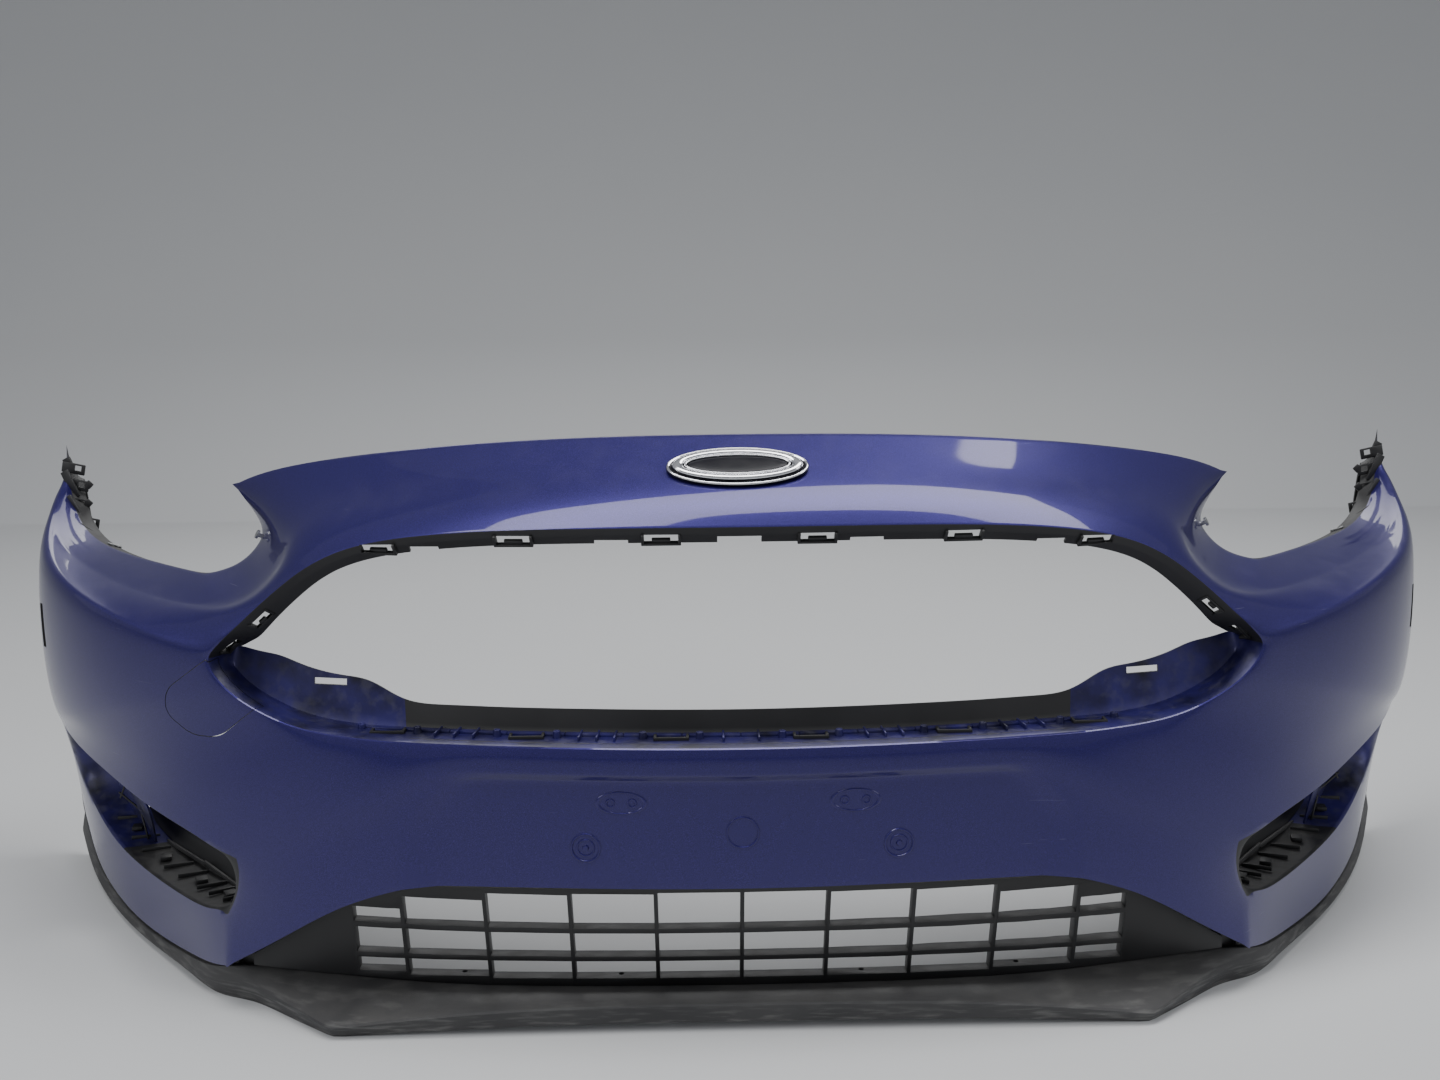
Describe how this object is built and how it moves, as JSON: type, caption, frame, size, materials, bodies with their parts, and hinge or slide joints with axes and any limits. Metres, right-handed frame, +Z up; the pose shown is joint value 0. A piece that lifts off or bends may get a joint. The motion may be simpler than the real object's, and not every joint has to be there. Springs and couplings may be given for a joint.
{
  "type": "front bumper cover",
  "caption": "Painted front bumper cover with fog-lamp pockets, a lower grille, a textured lip, an oval emblem and a hinged tow-eye cover.",
  "frame": {"origin": "under the middle of the whole part's box, on the floor it stands on", "axes": "+X to the right as seen from the front, +Y rearwards into the vehicle, +Z up; the painted front faces -Y"},
  "size_m": [1.7926, 0.5961, 0.622],
  "materials": {
    "blue_paint": "deep blue metallic paint under clear coat on moulded plastic",
    "lip_plastic": "grained dark grey plastic, worn paler on its ridge",
    "black_plastic": "plain black moulded plastic",
    "chrome": "bright chromed plastic",
    "zinc": "zinc-plated steel"
  },
  "bodies": {
    "root": {"bumper_cover": "blue_paint", "lower_lip": "lip_plastic", "lower_grille": "black_plastic", "badge_base": "black_plastic", "badge_ring": "chrome", "badge_inner_ring": "chrome", "badge_face": "black_plastic", "arch_nut_left_1": "zinc", "arch_nut_left_2": "zinc", "arch_nut_left_3": "zinc", "tray_nut_left_1": "zinc", "tray_nut_left_2": "zinc", "lip_screw_left_1": "zinc", "lip_screw_left_2": "zinc", "corner_screw_left": "zinc", "headlamp_clip_left": "zinc", "badge_nut_left": "zinc", "arch_nut_right_1": "zinc", "arch_nut_right_2": "zinc", "arch_nut_right_3": "zinc", "tray_nut_right_1": "zinc", "tray_nut_right_2": "zinc", "lip_screw_right_1": "zinc", "lip_screw_right_2": "zinc", "corner_screw_right": "zinc", "headlamp_clip_right": "zinc", "badge_nut_right": "zinc"},
    "tow_eye_cover": {"tow_eye_cover": "blue_paint"}
  },
  "joints": [
    {"name": "tow_cover_hinge", "type": "hinge", "parent": "root", "child": "tow_eye_cover", "pos_m": [-0.614, -0.1738, 0.344], "axis": [-0.2085, 0.1042, -0.9725], "range_deg": [0, 90]}
  ]
}
